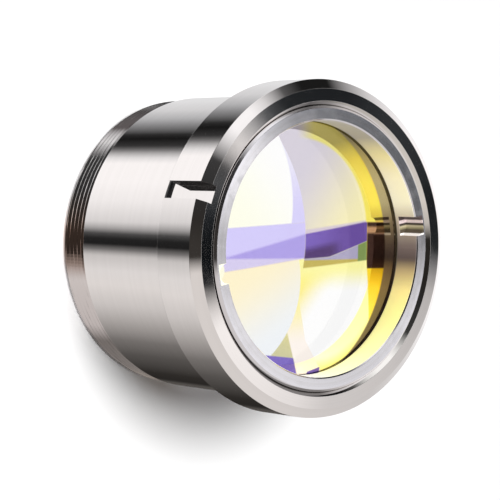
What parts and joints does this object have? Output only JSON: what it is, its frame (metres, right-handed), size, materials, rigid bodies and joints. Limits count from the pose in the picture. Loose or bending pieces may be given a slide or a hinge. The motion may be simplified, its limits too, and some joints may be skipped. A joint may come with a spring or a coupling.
{
  "type": "laser collimating lens",
  "caption": "Collimating lens unit for a laser cutting head: coated glass lenses held in a polished steel barrel with a wide rim with a key slot, a notched retaining ring and a fine thread behind.",
  "frame": {"origin": "centre of the barrel's rear face, on the optical axis", "axes": "+Z along the optical axis, from the threaded rear end towards the rim and the front lens"},
  "size_m": [0.034, 0.034, 0.0241],
  "materials": {
    "polished_steel": "fine turned and polished stainless steel",
    "ring_steel": "satin turned steel",
    "front_glass": "polished fused silica with a yellow and violet antireflection coating",
    "rear_glass": "polished fused silica with an antireflection coating",
    "spacer_metal": "fine turned",
    "washer_plastic": "skived fluoropolymer",
    "seal_rubber": "moulded, satin black"
  },
  "bodies": {
    "root": {"barrel": "polished_steel", "retaining_ring": "ring_steel", "front_washer": "washer_plastic", "front_lens": "front_glass", "lens_spacer": "spacer_metal", "rear_lens": "rear_glass", "rear_washer": "washer_plastic", "seal_ring": "seal_rubber"}
  },
  "joints": []
}
